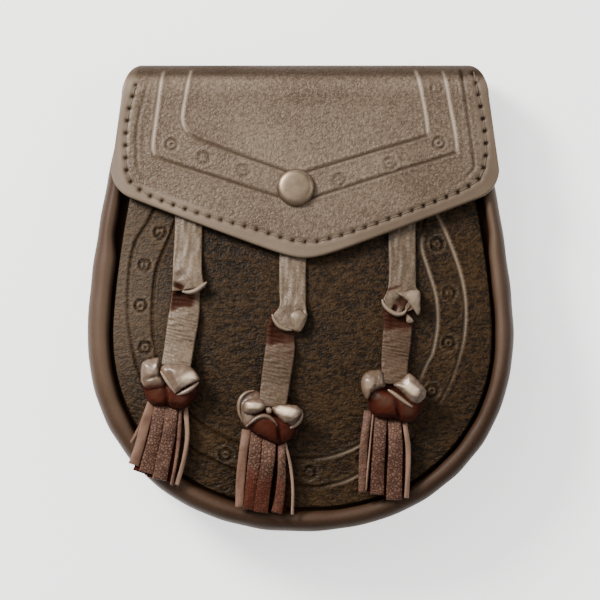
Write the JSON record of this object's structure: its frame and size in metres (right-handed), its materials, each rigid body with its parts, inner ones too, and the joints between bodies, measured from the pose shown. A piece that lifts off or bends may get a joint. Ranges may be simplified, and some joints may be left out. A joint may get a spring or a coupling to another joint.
{
  "type": "sporran pouch",
  "caption": "Leather sporran pouch with a tooled press-stud flap, a rolled rim, knotted tassels on straps and plain belt loops on the back.",
  "frame": {"origin": "middle of the bounding box, on the plane that the pouch lies on", "axes": "+Z out of the front of the pouch, +Y towards the fold of the flap, +X to the right of someone who looks at the front"},
  "size_m": [0.1794, 0.1966, 0.0482],
  "materials": {
    "panel_leather": "dark pebbled leather with tooled lines and stamps",
    "gusset_leather": "smooth rolled leather, semi-gloss",
    "back_leather": "plain brown leather",
    "flap_leather": "pebbled leather with tooled lines, stamps and thread",
    "strap_leather": "soft creased leather",
    "head_leather": "glossy knotted leather",
    "fringe_leather": "grained cut leather strips",
    "stud_metal": "worn domed cap"
  },
  "bodies": {
    "root": {"front_panel": "panel_leather", "gusset": "gusset_leather", "back_panel": "back_leather", "flap": "flap_leather", "snap_cap": "stud_metal", "snap_post": "stud_metal", "hanger_left": "strap_leather", "hanger_middle": "strap_leather", "hanger_right": "strap_leather", "tassel_strap_left": "strap_leather", "tassel_strap_middle": "strap_leather", "tassel_strap_right": "strap_leather", "tassel_head_left": "head_leather", "tassel_head_middle": "head_leather", "tassel_head_right": "head_leather", "tassel_skirt_left": "fringe_leather", "tassel_skirt_middle": "fringe_leather", "tassel_skirt_right": "fringe_leather", "belt_loop_left": "back_leather", "belt_loop_right": "back_leather"}
  },
  "joints": []
}
